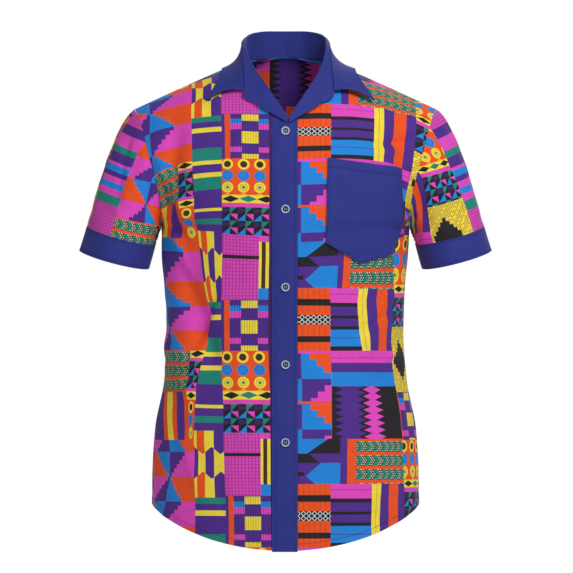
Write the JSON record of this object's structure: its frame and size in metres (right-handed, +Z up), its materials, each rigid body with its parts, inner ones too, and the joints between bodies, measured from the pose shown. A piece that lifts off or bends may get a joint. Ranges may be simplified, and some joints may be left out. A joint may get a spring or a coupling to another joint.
{
  "type": "short-sleeved button-down shirt",
  "caption": "Short-sleeved button-down shirt filled out as worn, open turned-down collar, plain blue bands and chest pocket on a bright woven-strip patchwork print.",
  "frame": {"origin": "on the shoulder line, midway between the two points where the collar meets the shoulder seams", "axes": "+Z up towards the collar, -Y out of the buttoned front, +X to the wearer's left"},
  "size_m": [0.619, 0.266, 0.7799],
  "materials": {
    "printed_cotton": "matte printed plain weave",
    "blue_cotton": "matte dyed plain weave",
    "button_plastic": "moulded, lightly polished"
  },
  "bodies": {
    "root": {"front_right": "printed_cotton", "front_left": "printed_cotton", "back": "printed_cotton", "sleeve_right": "printed_cotton", "sleeve_left": "printed_cotton", "cuff_right": "blue_cotton", "cuff_left": "blue_cotton", "placket": "blue_cotton", "button_band": "blue_cotton", "facing_right": "blue_cotton", "facing_left": "blue_cotton", "collar_stand": "blue_cotton", "collar_leaf": "blue_cotton", "pocket": "blue_cotton", "button_1": "button_plastic", "button_2": "button_plastic", "button_3": "button_plastic", "button_4": "button_plastic", "button_5": "button_plastic"}
  },
  "joints": []
}
